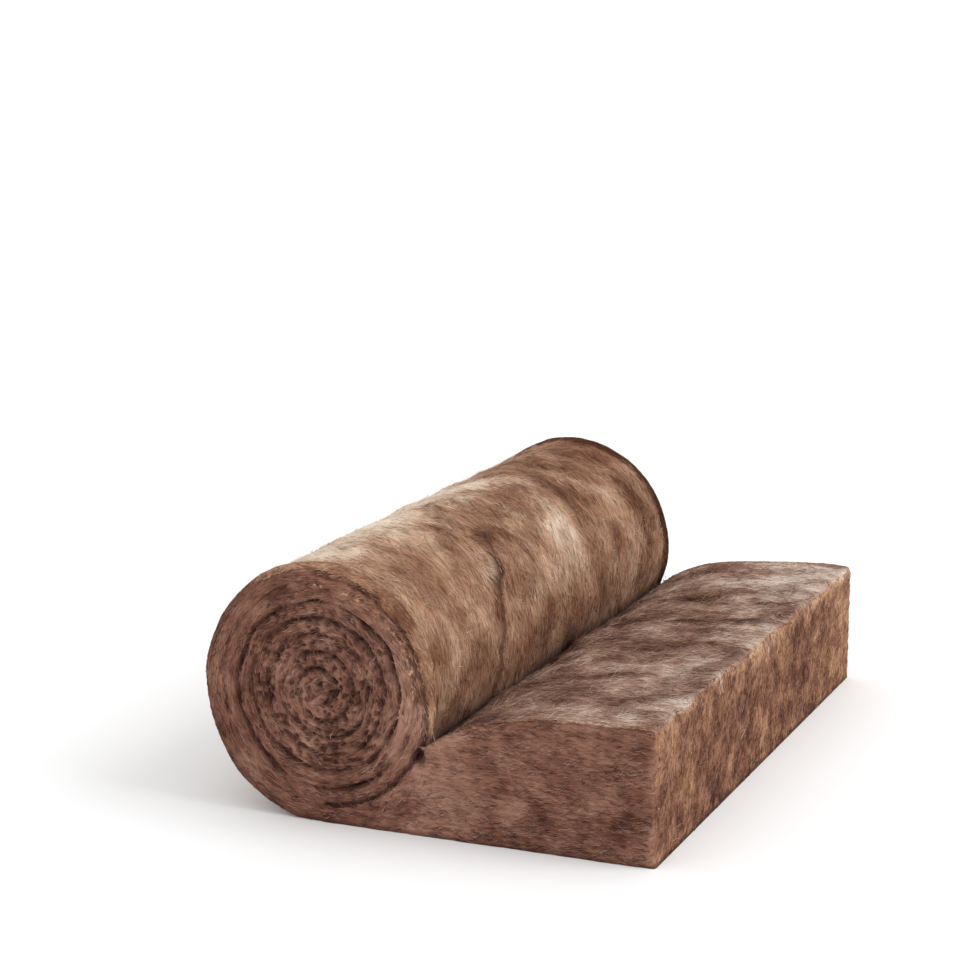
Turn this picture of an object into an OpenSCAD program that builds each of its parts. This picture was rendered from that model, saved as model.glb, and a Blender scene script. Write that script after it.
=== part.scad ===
// Mineral wool blanket, part rolled and part run out flat.
// X runs along the blanket towards its free end, Y across its width and Z up.
// The origin is on the floor, at the middle of the blanket's footprint.

/* [Blanket] */
// Width of the blanket, which is the length of the roll
blanket_w = 1140; // [400:10:1400]
// Thickness of the lofted blanket at its free end
loft_t = 215; // [170:5:260]
// Distance from the middle of the roll to the free end
run_out = 560; // [460:5:1200]
// Distance from the middle of the roll to where the blanket reaches its full loft
loft_x = 400; // [320:5:440]
// Radius that softens the free end's top edge
end_r = 14; // [4:1:20]

/* [Roll] */
// Radius of the outermost turn where it leaves the floor
roll_r = 210; // [170:5:260]
// Thickness of one compressed turn
turn_pitch = 28; // [20:1:40]
// Angle below the roll's middle at which the blanket lofts away from the roll
nip_angle = 28; // [20:1:50]
// Radius of the eye at the middle of the roll
eye_r = 6; // [3:1:9]
// Depth of the eye in each end
eye_depth = 30; // [10:1:60]

/* [Turn lines on the ends] */
// Width of the line between two turns
line_w = 4; // [2:0.5:8]
// Depth of the line between two turns
line_depth = 6; // [2:0.5:12]

/* [Hidden] */
$fn = 96;
// How far a cutting shape runs past the face that it starts from
past = 1;
// How far one stretch of the blanket runs on into the next
lap = 2;
// Angle by which the line under the roll runs on past the nip, so that it opens there
nip_run_on = 2;

// The half turns on the free end's side are struck from a centre half a pitch above
// that of the half turns behind, so each half turn runs on into the next one in.
back_centre_z = roll_r;
front_centre_z = roll_r + turn_pitch / 2;
front_r = roll_r - turn_pitch / 2;
inner_turns = floor((front_r - eye_r) / turn_pitch);

// The nip is where the run-out blanket's top leaves the roll. From there the top
// rises in one arc, level where it reaches the full loft.
nip_x = front_r * cos(nip_angle);
nip_z = front_centre_z - front_r * sin(nip_angle);
loft_rise = loft_t - nip_z;
loft_r = (pow(loft_x - nip_x, 2) + pow(loft_rise, 2)) / (2 * loft_rise);

footprint_centre_x = (run_out - roll_r) / 2;

// Carries a shape drawn in X and Z across the blanket's whole width, about Y = 0
module across_width() {
    translate([-footprint_centre_x, blanket_w / 2, 0])
        rotate([90, 0, 0])
            children();
}

// Half a disc on the side of the roll that side names: -1 behind, 1 towards the free end
module half_disc(centre_z, radius, side) {
    intersection() {
        translate([0, centre_z, 0])
            cylinder(r = radius, h = blanket_w);
        translate([side < 0 ? -2 * radius : 0, centre_z - 2 * radius, 0])
            cube([2 * radius, 4 * radius, blanket_w]);
    }
}

// The wound part, filled to the outline of its outermost turn
module roll() {
    half_disc(back_centre_z, roll_r, -1);
    half_disc(front_centre_z, front_r, 1);
}

// The stretch that is pressed between the roll and the floor
module pressed_stretch() {
    cube([nip_x - lap / 2, nip_z, blanket_w]);
}

// The stretch that lofts from the nip up to its full thickness
module lofting_stretch() {
    intersection() {
        translate([nip_x - lap, 0, 0])
            cube([loft_x - nip_x + lap, loft_t, blanket_w]);
        translate([loft_x, loft_t - loft_r, 0])
            cylinder(r = loft_r, h = blanket_w);
    }
}

// The stretch at full loft, with its softened top edge at the free end
module lofted_stretch() {
    translate([loft_x, 0, 0]) {
        cube([run_out - loft_x, loft_t - end_r, blanket_w]);
        cube([run_out - loft_x - end_r, loft_t, blanket_w]);
    }
    translate([run_out - end_r, loft_t - end_r, 0])
        cylinder(r = end_r, h = blanket_w);
}

// The line between two turns over one sweep of angle, cut into the end face at Z = 0
module turn_line(centre_z, radius, from_angle, sweep) {
    translate([0, centre_z, -past])
        rotate([0, 0, from_angle])
            rotate_extrude(angle = sweep)
                translate([radius - line_w / 2, 0])
                    square([line_w, line_depth + past]);
}

// Every line between turns on one end face, and the eye that they wind in to
module end_face_lines() {
    turn_line(front_centre_z, front_r, -90, 90 - nip_angle + nip_run_on);
    for (turn = [1 : inner_turns]) {
        turn_line(back_centre_z, roll_r - turn * turn_pitch, 90, 180);
        turn_line(front_centre_z, front_r - turn * turn_pitch, -90, 180);
    }
    translate([0, front_centre_z, -past])
        cylinder(r = eye_r, h = eye_depth + past);
}

module wool_blanket() {
    color("#8a6656")
        across_width()
            difference() {
                union() {
                    roll();
                    pressed_stretch();
                    lofting_stretch();
                    lofted_stretch();
                }
                end_face_lines();
                translate([0, 0, blanket_w])
                    mirror([0, 0, 1])
                        end_face_lines();
            }
}

wool_blanket();
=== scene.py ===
"""A mineral wool insulation blanket, rolled at one end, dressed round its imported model.

The blanket is built flat in its own coordinates, along its length and through its
thickness, and is then wound into its section, so every layer and fibre follows the wool.
"""

import logging
import math
from dataclasses import dataclass, field
from enum import Enum

import bmesh
import bpy
import numpy as np
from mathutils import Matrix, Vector, noise
from mathutils.bvhtree import BVHTree

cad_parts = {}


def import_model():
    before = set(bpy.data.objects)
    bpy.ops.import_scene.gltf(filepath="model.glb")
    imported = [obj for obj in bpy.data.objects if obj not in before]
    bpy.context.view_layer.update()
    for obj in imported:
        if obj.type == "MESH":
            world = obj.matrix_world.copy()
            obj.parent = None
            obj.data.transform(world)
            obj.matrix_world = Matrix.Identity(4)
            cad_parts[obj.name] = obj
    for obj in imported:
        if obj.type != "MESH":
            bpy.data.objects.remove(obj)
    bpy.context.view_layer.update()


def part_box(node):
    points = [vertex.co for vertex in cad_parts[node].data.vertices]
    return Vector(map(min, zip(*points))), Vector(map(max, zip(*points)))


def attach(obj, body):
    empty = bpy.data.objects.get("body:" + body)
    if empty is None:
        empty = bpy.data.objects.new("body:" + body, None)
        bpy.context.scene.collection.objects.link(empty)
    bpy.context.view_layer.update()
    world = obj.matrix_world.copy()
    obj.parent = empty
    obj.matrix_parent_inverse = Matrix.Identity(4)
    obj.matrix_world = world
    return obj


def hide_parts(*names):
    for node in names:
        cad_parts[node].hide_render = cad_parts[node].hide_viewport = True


LOG = logging.getLogger("insulation_roll")
MM = 0.001
TAU = 2 * math.pi
NODE = "wool_blanket"
BODY = "root"
RUN_UV = "wool_run"
BAKE_UV = "OFBake"

RGBA = tuple[float, float, float, float]


def linear(hex_colour: str) -> RGBA:
    """Turns an sRGB hex colour into the linear colour that a shader takes.

    Args:
        hex_colour: six hex digits after a hash sign.

    Returns:
        Red, green, blue and alpha, linear.
    """
    parts = [int(hex_colour[i : i + 2], 16) / 255 for i in (1, 3, 5)]
    lin = [c / 12.92 if c <= 0.04045 else ((c + 0.055) / 1.055) ** 2.4 for c in parts]
    return (lin[0], lin[1], lin[2], 1.0)


def per_metre(millimetres: float) -> float:
    """Pattern scale, in repeats a metre, of a feature that measures so many millimetres."""
    return 1 / (millimetres * MM)


def smooth(low: float, high: float, value: float) -> float:
    """Eases from 0 at low to 1 at high, whichever of the two is the larger number."""
    t = min(1.0, max(0.0, (value - low) / (high - low)))
    return t * t * (3 - 2 * t)


def bell(off: float, reach: float) -> float:
    """Falls from 1 at no offset to about a third one reach away, and on towards 0."""
    return math.exp(-((off / reach) ** 2))


def wool_noise(point: Vector, size: float, seed: float) -> float:
    """Smooth noise from -1 to 1 whose lumps are about size metres across."""
    return noise.noise(point / size + Vector((seed, seed * 1.7, -seed * 0.6)))


def read_array(source: object, name: str, count: int, kind: type = float) -> np.ndarray:
    """Reads one property of every element of a mesh's list.

    Args:
        source: the list, such as the mesh's polygons or an attribute's data.
        name: the property.
        count: how many numbers it holds in all.
        kind: the numbers' type.

    Returns:
        The numbers, in one flat array.
    """
    values = np.zeros(count, dtype=kind)
    source.foreach_get(name, values)
    return values


def link_new_object(data: bpy.types.ID) -> bpy.types.Object:
    """Puts new data into the scene as an object of the same name.

    Args:
        data: the mesh, lamp or camera.

    Returns:
        The new object.
    """
    made = bpy.data.objects.new(data.name, data)
    bpy.context.scene.collection.objects.link(made)
    return made


class Zone(Enum):
    """The faces that a stretch of wool can lie on."""

    ROLL = "roll"
    RUN_OUT_TOP = "run_out_top"
    UNDERSIDE = "underside"
    FREE_END = "free_end"
    CUT_SIDE = "cut_side"
    ROLL_RIM = "roll_rim"


@dataclass(frozen=True)
class BlanketSize:
    """Sizes of the rolled blanket, in metres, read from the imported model's box."""

    lowest: Vector
    highest: Vector
    loft: float = 0.215
    pitch: float = 0.028
    nip_steps: int = 35
    steps_a_turn: int = 200
    turns: float = 6.7
    loft_length: float = 0.080
    narrowing: float = 0.962

    @property
    def width(self) -> float:
        """Width across the blanket, which is the roll's length."""
        return self.highest.y - self.lowest.y

    @property
    def roll_r(self) -> float:
        """Radius of the outermost turn where it leaves the floor."""
        return (self.highest.z - self.lowest.z) / 2

    @property
    def axis_x(self) -> float:
        """Where the roll's axis stands along X."""
        return self.lowest.x + self.roll_r

    @property
    def start_r(self) -> float:
        """Radius of the smooth spiral at the floor, and the height of its centre."""
        return self.roll_r + self.pitch / 4

    @property
    def nip_turned(self) -> float:
        """Angle, counted from the floor, at which the blanket leaves the roll."""
        return -self.nip_steps * TAU / self.steps_a_turn


class Section:
    """The blanket's path in X and Z, from its free end to the eye of the roll."""

    def __init__(self, size: BlanketSize, run_out_columns: int = 62) -> None:
        """Works out the nip and the count of stations along the blanket.

        Args:
            size: the blanket's sizes.
            run_out_columns: stations between the free end and the nip.
        """
        self.size = size
        self.nip_station = run_out_columns
        self.floor_station = run_out_columns + size.nip_steps
        self.stations = self.floor_station + round(size.turns * size.steps_a_turn)
        self.centre = Vector((size.axis_x, 0, size.start_r))
        self.nip = self.spiral(size.nip_turned + TAU)
        self.end_x = size.highest.x
        self.nip_travel = self.end_x - self.nip.x

    def turned(self, station: float) -> float:
        """Angle that the blanket has turned at a station, from the floor under the roll."""
        return (station - self.floor_station) * TAU / self.size.steps_a_turn

    def spiral(self, turned: float) -> Vector:
        """The outer face of the winding at an angle turned from the floor."""
        radius = self.size.start_r - self.size.pitch * turned / TAU
        angle = -math.pi / 2 - turned
        return self.centre + Vector(
            (radius * math.cos(angle) * self.size.narrowing, 0, radius * math.sin(angle))
        )

    def run_out_top(self, x: float) -> float:
        """Height of the run-out's top face, which lofts as it leaves the nip."""
        rise = self.size.loft - self.nip.z
        return self.size.loft - rise * math.exp(-(x - self.nip.x) / self.size.loft_length)

    def point(self, station: float, across: float) -> Vector:
        """A point of the wound blanket.

        Args:
            station: place along the blanket, counted in columns from the free end.
            across: 0 on the outer face, which is the underside, to 1 on the inner face.

        Returns:
            The point, with Y at 0.
        """
        if station <= self.nip_station:
            x = self.end_x - self.nip_travel * station / self.nip_station
            return Vector((x, 0, self.run_out_top(x) * across))
        turned = self.turned(station)
        inner = self.spiral(turned + TAU)
        outer = self.spiral(turned) if turned > 0 else Vector((inner.x, 0, 0))
        return outer.lerp(inner, across)

    def travel(self, station: float) -> float:
        """Length of blanket between the free end and a station.

        Args:
            station: place along the blanket.

        Returns:
            The length in metres.
        """
        if station <= self.nip_station:
            return self.nip_travel * station / self.nip_station
        turned = self.turned(station) - self.size.nip_turned
        mean_r = self.size.start_r - self.size.pitch * max(0.0, turned) / (2 * TAU)
        return self.nip_travel + turned * mean_r

    def thickness(self, station: float) -> float:
        """Thickness of the blanket at a station."""
        return (self.point(station, 1) - self.point(station, 0)).length

    def outward(self, station: float, across: float) -> Vector:
        """Direction out of the broad face, or out of the free end, at an outline point.

        Args:
            station: place along the blanket.
            across: place through the blanket.

        Returns:
            The direction, of unit length.
        """
        if station <= 0 and 0 < across < 1:
            return Vector((1, 0, 0))
        step = 0.5
        ahead = self.point(station + step, across)
        behind = self.point(max(0.0, station - step), across)
        run = (ahead - behind).normalized()
        out = Vector((-run.z, 0, run.x)) if across > 0.5 else Vector((run.z, 0, -run.x))
        if station <= 0:
            out = (out + Vector((1, 0, 0))).normalized()
        return out


@dataclass(frozen=True)
class Crease:
    """A fold pressed into the wool, between two points of its face, in metres."""

    start: tuple[float, float]
    end: tuple[float, float]
    breadth: float
    depth: float

    def share(self, along: float, y: float) -> float:
        """How much of the fold's depth a point of the face takes.

        Args:
            along: the point's place along the face.
            y: the point's place across the blanket.

        Returns:
            The share, from 0 to 1, which is greatest half-way along the fold.
        """
        run = (self.end[0] - self.start[0], self.end[1] - self.start[1])
        off = (along - self.start[0], y - self.start[1])
        length_squared = run[0] ** 2 + run[1] ** 2
        part = (off[0] * run[0] + off[1] * run[1]) / length_squared
        part = min(1.0, max(0.0, part))
        gap = math.hypot(off[0] - part * run[0], off[1] - part * run[1])
        middle = 1 - abs(2 * part - 1) ** 3
        return bell(gap, self.breadth) * (0.25 + 0.75 * middle)


@dataclass
class Relief:
    """How far the wool stands and hollows away from its plain section, in metres."""

    slab_shoulder: float = 0.008
    shoulder: float = 0.013
    roll_shoulder: float = 0.030
    end_edge: float = 0.008
    pillow: float = 0.0075
    lump: float = 0.0030
    valley: float = 0.0060
    lock: float = 0.0014
    crevice: float = 0.017
    telescope: float = 0.006
    ply: float = 0.0042
    wander: float = 0.0050
    groove: float = 0.026
    groove_reach: float = 0.014
    mouth: float = 0.012
    mouth_reach: float = 0.011
    wrap_share: float = 0.55
    seam: float = 0.004
    pit: float = 0.009
    pit_size: float = 0.0105
    eye_depth: float = 0.020
    seed: float = 4.7
    roll_creases: tuple[Crease, ...] = (
        Crease((1.375, -0.145), (1.432, -0.182), 0.012, 0.004),
        Crease((1.432, -0.182), (1.480, -0.252), 0.012, 0.005),
        Crease((1.478, -0.245), (1.620, -0.310), 0.013, 0.005),
        Crease((1.330, -0.020), (1.400, 0.060), 0.014, 0.004),
        Crease((1.320, 0.240), (1.420, 0.200), 0.014, 0.004),
    )
    top_creases: tuple[Crease, ...] = (
        Crease((0.170, 0.050), (0.262, 0.088), 0.006, 0.007),
        Crease((0.262, 0.088), (0.372, 0.082), 0.006, 0.008),
        Crease((0.225, 0.020), (0.330, 0.034), 0.005, 0.005),
        Crease((0.120, 0.250), (0.235, 0.275), 0.009, 0.005),
        Crease((0.150, -0.300), (0.290, -0.280), 0.010, 0.004),
    )


@dataclass(frozen=True)
class PaintedShadeStrength:
    """How dark the painted shade shows in each kind of hollow and in the painted contact
    shadow at the floor, where 1 is the darkest colour of the finish.
    """

    fold: float = 0.45
    full_crease: float = 0.0065
    far_rim: float = 0.85
    nip: float = 2.2
    nip_tint_reach: float = 0.019
    nip_surround: float = 0.35
    surround_reach: float = 0.075
    skin_foot: float = 0.65
    cut_foot: float = 0.60
    gap: float = 1.2
    ply: float = 0.72
    seam: float = 0.75
    mouth: float = 1.2


@dataclass(frozen=True)
class Fade:
    """A paleness that comes in between two places, given in metres."""

    start: float
    full: float
    gain: float = 1.0

    def at(self, place: float) -> float:
        """The paleness at a place: none at the start, and the whole gain where full."""
        return self.gain * smooth(self.start, self.full, place)


@dataclass(frozen=True)
class RollPatch:
    """A patch of the roll's face, by degrees round the roll and metres across it."""

    turn: float
    turn_reach: float
    y: float
    y_reach: float

    def at(self, turn: float, y: float) -> float:
        """How much of the patch a point has, from 0 to 1."""
        off_turn, off_y = (turn - self.turn) / self.turn_reach, (y - self.y) / self.y_reach
        return math.exp(-(off_turn**2) - off_y**2)


@dataclass(frozen=True)
class PaintedLightAndPallor:
    """Paleness laid into the wool's colour: painted light on faces turned to the lamp, painted
    highlights along edges and the roll's crest, painted shade where it is taken away, and
    plain paler patches at the roll's core and on the run-out's cut sides.
    """

    end_high: Fade = Fade(0.12, 0.21, 0.30)
    end_far: Fade = Fade(0.30, 0.50, 0.55)
    end_edge: Fade = Fade(0.185, 0.212, 0.60)
    end_near: Fade = Fade(-0.535, -0.562, 0.50)
    top_near: Fade = Fade(-0.40, -0.54, 0.70)
    top_near_from: Fade = Fade(0.14, 0.26)
    top_outer: Fade = Fade(0.24, 0.38, 0.80)
    top_edge: Fade = Fade(0.355, 0.38, 0.40)
    top_far: Fade = Fade(0.10, 0.45, 1.60)
    top_far_from: Fade = Fade(0.14, 0.24)
    top_near_shade: Fade = Fade(-0.44, -0.56, 0.22)
    top_near_shade_within: Fade = Fade(0.20, 0.08)
    crest_turn: float = 112
    crest_reach: float = 30
    crest_across: Fade = Fade(0.30, 0.05)
    lit_flank: RollPatch = RollPatch(36, 20, 0.13, 0.15)
    lit_flank_gain: float = 0.80
    shaded_top: RollPatch = RollPatch(80, 26, 0.44, 0.17)
    shaded_top_gain: float = 0.50
    core: float = 0.26
    cut_corner: Fade = Fade(0.352, 0.382, 0.50)
    cut_nip_x: float = 0.02
    cut_nip_reach: float = 0.09
    cut_nip: float = 0.38
    open_turn: float = 10
    open_side: float = 0.52
    open_from: Fade = Fade(0.09, 0.15)


# How far each gap between turns stands open, by turns counted in from the outside.
GAP_TURNS = (0.9, 1.3, 1.7, 1.95, 2.3, 2.8, 3.2, 3.6, 4.1, 4.7, 5.3, 6.0, 7.0)
GAP_OPENINGS = (0.10, 0.25, 0.30, 0.90, 1.05, 0.95, 0.50, 0.85, 0.50, 1.0, 0.60, 0.9, 0.8)


@dataclass
class WoolBlanket:
    """The blanket itself: one closed skin with both of its cut sides."""

    section: Section
    relief: Relief = field(default_factory=Relief)
    shade_strength: PaintedShadeStrength = PaintedShadeStrength()
    light_and_pallor: PaintedLightAndPallor = PaintedLightAndPallor()
    rows: int = 10
    run_out_cuts: int = 2
    rim_steps: tuple[float, ...] = (0.003, 0.004, 0.005, 0.006, 0.007, 0.007)
    bay: float = 0.0072

    def build(self) -> bpy.types.Object:
        """Builds the wound blanket with its relief.

        Returns:
            The finished object, with its place in its mesh.
        """
        mesh = bmesh.new()
        self.station = mesh.verts.layers.float.new("station")
        self.across = mesh.verts.layers.float.new("across")
        # Painted shade for the hollows and a painted contact shadow along the floor, then
        # painted light and highlights with a few plain paler patches.
        self.painted_shade = mesh.verts.layers.float.new("painted_shade")
        self.painted_light_and_pallor = mesh.verts.layers.float.new("painted_light_and_pallor")
        self.run_uv = mesh.loops.layers.uv.new(RUN_UV)
        self.bake_uv = mesh.loops.layers.uv.new(BAKE_UV)
        self._cut_side(mesh)
        self._skin(mesh)
        self._far_side(mesh)
        bmesh.ops.recalc_face_normals(mesh, faces=mesh.faces)
        self._map_faces(mesh)
        self._shape(mesh)
        data = bpy.data.meshes.new("wool_blanket_body")
        mesh.normal_update()
        mesh.to_mesh(data)
        mesh.free()
        data.polygons.foreach_set("use_smooth", [True] * len(data.polygons))
        return link_new_object(data)

    def _cut_side(self, mesh: bmesh.types.BMesh) -> None:
        """Lays out one cut side flat, winds it up and welds each turn to the next.

        Args:
            mesh: the blanket's mesh, which it changes.
        """
        section = self.section
        bmesh.ops.create_grid(
            mesh, x_segments=section.stations, y_segments=self.rows, size=0.5
        )
        nip = section.nip_station
        for vert in mesh.verts:
            vert[self.station] = round((vert.co.x + 0.5) * section.stations)
            vert[self.across] = round((vert.co.y + 0.5) * self.rows) / self.rows
        through = [
            e
            for e in mesh.edges
            if abs(e.verts[0][self.station] - e.verts[1][self.station]) < 0.5
            and e.verts[0][self.station] <= nip + section.size.nip_steps * 0.6
        ]
        bmesh.ops.subdivide_edges(
            mesh, edges=through, cuts=self.run_out_cuts, use_grid_fill=True
        )
        near_y = -section.size.width / 2
        for vert in mesh.verts:
            vert[self.station] = (vert.co.x + 0.5) * section.stations
            vert[self.across] = min(1.0, max(0.0, vert.co.y + 0.5))
        for face in mesh.faces:
            for loop in face.loops:
                at, across = loop.vert[self.station], loop.vert[self.across]
                deep = across * section.thickness(at)
                loop[self.run_uv].uv = (section.travel(at), deep)
        for vert in mesh.verts:
            vert.co = section.point(vert[self.station], vert[self.across])
            vert.co.y = near_y
        bmesh.ops.remove_doubles(mesh, verts=mesh.verts, dist=0.00005)
        self._close_eye(mesh)

    def _close_eye(self, mesh: bmesh.types.BMesh) -> None:
        """Closes the small gap that the winding leaves at its middle.

        Args:
            mesh: the blanket's mesh, which it changes.
        """
        centre = self.section.centre
        reach = self.section.size.pitch * 1.6
        rim = [
            e
            for e in mesh.edges
            if e.is_boundary
            and all(
                math.hypot(v.co.x - centre.x, v.co.z - centre.z) < reach for v in e.verts
            )
        ]
        closed = bmesh.ops.contextual_create(mesh, geom=rim)["faces"]
        poked = bmesh.ops.poke(mesh, faces=closed)
        for vert in poked["verts"]:
            vert[self.station] = self.section.stations
            vert[self.across] = 0.5

    def _bays(self) -> list[float]:
        """Steps in Y from one cut side to the other, fine along both rims."""
        middle = self.section.size.width - 2 * sum(self.rim_steps)
        count = round(middle / self.bay)
        return [*self.rim_steps, *[middle / count] * count, *reversed(self.rim_steps)]

    def _skin(self, mesh: bmesh.types.BMesh) -> None:
        """Draws the outline of the near side across the blanket's width.

        Args:
            mesh: the blanket's mesh, which it changes.
        """
        self.near_faces = list(mesh.faces)
        front = [e for e in mesh.edges if e.is_boundary]
        for bay in self._bays():
            grown = bmesh.ops.extrude_edge_only(mesh, edges=front)["geom"]
            verts = [g for g in grown if isinstance(g, bmesh.types.BMVert)]
            bmesh.ops.translate(mesh, verts=verts, vec=(0, bay, 0))
            front = [g for g in grown if isinstance(g, bmesh.types.BMEdge) and g.is_boundary]

    def _far_side(self, mesh: bmesh.types.BMesh) -> None:
        """Copies the near side to the far end of the skin and welds it on.

        Args:
            mesh: the blanket's mesh, which it changes.
        """
        copied = bmesh.ops.duplicate(mesh, geom=self.near_faces)["geom"]
        verts = [g for g in copied if isinstance(g, bmesh.types.BMVert)]
        faces = [g for g in copied if isinstance(g, bmesh.types.BMFace)]
        bmesh.ops.reverse_faces(mesh, faces=faces)
        bmesh.ops.translate(mesh, verts=verts, vec=(0, self.section.size.width, 0))
        edge_y = self.section.size.width / 2 - 0.0005
        bmesh.ops.remove_doubles(
            mesh, verts=[v for v in mesh.verts if v.co.y > edge_y], dist=0.00005
        )

    def skin_wrap(self, station: float, point: Vector) -> float:
        """How far the outer face is drawn over the rim of the roll's end.

        Args:
            station: place along the blanket.
            point: the point of the cut side, which the ragged edge goes by.

        Returns:
            The distance in from the outline, which is 0 where the rim was left bare.
        """
        turn = math.degrees(self.section.turned(station))
        if not 0 < turn < 360:
            return 0.0
        nip_turn = 360 + math.degrees(self.section.size.nip_turned)
        shown = 0.15 * smooth(80, 130, turn) + 0.85 * smooth(140, 188, turn)
        shown *= 1 - smooth(nip_turn - 34, nip_turn - 6, turn)
        ragged = 0.85 + 0.45 * wool_noise(point, 0.024, 7.1)
        room = self.shoulder_radius(station) - 0.002
        return self.relief.wrap_share * shown * ragged * room

    def zone(self, face: bmesh.types.BMFace) -> Zone:
        """Which face of the blanket a mesh face lies on, before the relief is cut.

        Args:
            face: the mesh face, still on the plain section.

        Returns:
            Its zone.
        """
        stations = [v[self.station] for v in face.verts]
        across = sum(v[self.across] for v in face.verts) / len(face.verts)
        if abs(face.normal.y) > 0.5:
            middle = face.calc_center_median()
            depth = self.depth_in(middle, min(stations), across)
            wrap = self.skin_wrap(min(stations), middle)
            return Zone.ROLL_RIM if depth < wrap else Zone.CUT_SIDE
        if max(stations) < 0.5:
            return Zone.FREE_END
        if across > 0.5:
            return Zone.RUN_OUT_TOP
        if min(stations) < self.section.floor_station:
            return Zone.UNDERSIDE
        return Zone.ROLL

    def _map_faces(self, mesh: bmesh.types.BMesh) -> None:
        """Gives each face its material, and the skin its coordinates along the wool.

        Args:
            mesh: the blanket's mesh, which it changes.
        """
        size = self.section.size
        mesh.normal_update()
        self.zones = mesh.faces.layers.int.new("zone")
        order = list(Zone)
        skin_top = self.section.travel(self.section.floor_station) * 2 + TAU * size.roll_r
        skin_scale = 0.98 / (skin_top + size.loft)
        for face in mesh.faces:
            zone = self.zone(face)
            face[self.zones] = order.index(zone)
            face.material_index = list(ZONE_FINISHES).index(zone)
            for loop in face.loops:
                vert = loop.vert
                if abs(face.normal.y) > 0.5:
                    shift = 0.01 if vert.co.y < 0 else 0.51
                    loop[self.bake_uv].uv = (
                        shift + (vert.co.x - size.lowest.x) * 0.61,
                        0.66 + vert.co.z * 0.61,
                    )
                    continue
                travel = self.section.travel(vert[self.station])
                if zone is Zone.FREE_END:
                    along = -vert[self.across] * size.loft
                elif zone is Zone.RUN_OUT_TOP:
                    along = -size.loft - travel
                else:
                    along = travel
                loop[self.run_uv].uv = (along, vert.co.y + (size.width if along < 0 else 0))
                room = along + size.loft + self.section.travel(self.section.floor_station)
                loop[self.bake_uv].uv = (
                    0.01 + room * skin_scale,
                    0.01 + (vert.co.y - size.lowest.y) / size.width * 0.62,
                )

    def shoulder_radius(self, station: float) -> float:
        """Radius that softens the rim, which is largest high on the roll's open side.

        Args:
            station: place along the blanket.

        Returns:
            The radius in metres.
        """
        relief = self.relief
        turned = self.section.turned(station)
        if station <= self.section.nip_station:
            return relief.slab_shoulder
        if turned <= 0 or turned > TAU:
            return relief.shoulder
        high_side = max(0.0, math.cos(turned - math.radians(225)))
        return relief.shoulder + (relief.roll_shoulder - relief.shoulder) * high_side**2

    def depth_in(self, point: Vector, station: float, across: float) -> float:
        """How far a point of the cut side lies in from the blanket's outline.

        Args:
            point: the point, on the plain section.
            station: its place along the blanket.
            across: its place through the blanket.

        Returns:
            The depth in metres, or a metre for a point on the inner turns.
        """
        section = self.section
        if station <= section.nip_station:
            return min(section.end_x - point.x, section.run_out_top(point.x) - point.z)
        if 0 < section.turned(station) < TAU:
            return across * section.thickness(station)
        return 1.0

    def crevice_depth(self, station: float, across: float) -> float:
        """How deep the gap between two turns runs in at a point of the cut side.

        Args:
            station: the point's place along the blanket.
            across: its place through the blanket.

        Returns:
            The depth in metres, which is 0 away from any gap.
        """
        section, relief = self.section, self.relief
        if station <= section.nip_station:
            return 0.0
        turned = section.turned(station)
        thickness = section.thickness(station)
        gaps = [(1 - across) * thickness]
        if turned > TAU * 0.995:
            gaps.append(across * thickness)
        place = section.spiral(turned + (TAU if across > 0.5 else 0))
        spread = 0.0036 + 0.0022 * wool_noise(place, 0.040, 2.2)
        nearness = bell(min(gaps), spread)
        uneven = 0.60 + 0.95 * wool_noise(place, 0.045, relief.seed)
        gap_turn = turned / TAU + (1 if across > 0.5 else 0)
        opening = float(np.interp(gap_turn, GAP_TURNS, GAP_OPENINGS))
        return relief.crevice * nearness * max(0.10, uneven) * opening

    def _nip_share(self, point: Vector, reach: float) -> float:
        """How near a point of the skin lies to the groove where the roll meets the run-out."""
        nip = self.section.nip
        return bell(math.hypot(point.x - nip.x, point.z - nip.z), reach)

    def _skin_painted_light(self, point: Vector, station: float, across: float) -> float:
        """How much painted light, highlight and shade a point of the skin takes.

        Args:
            point: the point of the skin, on the plain section.
            station: its place along the blanket.
            across: its place through the blanket.

        Returns:
            The painted light, which is 0 for plain wool and under 0 where painted shade
            darkens it.
        """
        light_and_pallor = self.light_and_pallor
        x, y, z = point
        uneven = 0.60 + 0.6 * wool_noise(point, 0.075, 8.8)
        # The free end: painted light, paler up high and towards the far side, with painted
        # highlights along its top and near edges.
        if station <= 0:
            shown = light_and_pallor.end_high.at(z) + light_and_pallor.end_far.at(y)
            return (shown + light_and_pallor.end_edge.at(z) + light_and_pallor.end_near.at(y)) * uneven
        # The run-out's top: painted highlights in pale bands towards its near, outer and far
        # edges, and painted shade on its near side by the nip.
        if station < self.section.nip_station and across > 0.5:
            near = light_and_pallor.top_near.at(y) * light_and_pallor.top_near_from.at(x)
            outer = light_and_pallor.top_outer.at(x) + light_and_pallor.top_edge.at(x)
            far = light_and_pallor.top_far.at(y) * light_and_pallor.top_far_from.at(x)
            pale = max(near, outer, far) * max(0.0, uneven)
            return pale - light_and_pallor.top_near_shade.at(y) * light_and_pallor.top_near_shade_within.at(x)
        # The roll: a painted highlight along its crest, painted light on the flank that faces
        # the lamp, and painted shade high on it towards the far end.
        arm = point - self.section.centre
        turn = math.degrees(math.atan2(arm.z, arm.x))
        crest = bell(turn - light_and_pallor.crest_turn, light_and_pallor.crest_reach) * light_and_pallor.crest_across.at(y)
        lit_flank = light_and_pallor.lit_flank_gain * light_and_pallor.lit_flank.at(turn, y) * uneven
        return crest * (0.90 + 0.5 * uneven) + lit_flank - light_and_pallor.shaded_top_gain * light_and_pallor.shaded_top.at(turn, y)

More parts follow.
